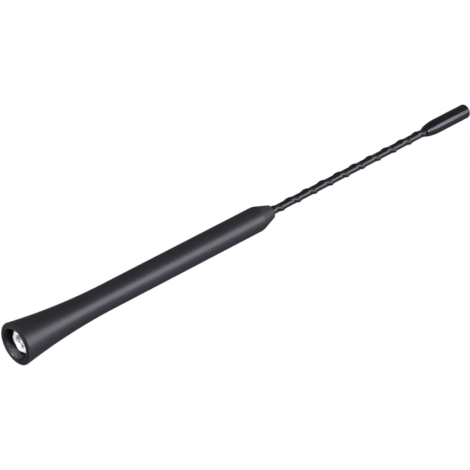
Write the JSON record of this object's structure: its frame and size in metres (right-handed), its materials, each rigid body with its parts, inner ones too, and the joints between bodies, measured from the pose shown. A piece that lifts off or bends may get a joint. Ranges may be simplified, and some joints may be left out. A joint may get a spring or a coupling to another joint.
{
  "type": "car antenna mast",
  "caption": "Slim screw-on car antenna: flared moulded grip with a tapped hex insert in its mouth, thin whip with a winding ridge and a round-nosed cap.",
  "frame": {"origin": "centre of the foot's rim, in the plane that sits on the car", "axes": "+Z along the mast from the foot to the tip; +X through a corner of the hexagonal insert"},
  "size_m": [0.0202, 0.0202, 0.28],
  "materials": {
    "grip_rubber": "satin black",
    "plated_metal": "bright nickel plate",
    "glass_fibre": "pulled rod",
    "copper_wire": "enamelled copper",
    "whip_rubber": "semi-gloss black",
    "cap_plastic": "semi-gloss black"
  },
  "bodies": {
    "root": {"base_grip": "grip_rubber", "hex_insert": "plated_metal", "core_rod": "glass_fibre", "loading_coil": "copper_wire", "radiating_wire": "copper_wire", "whip_sheath": "whip_rubber", "tip_cap": "cap_plastic"}
  },
  "joints": []
}
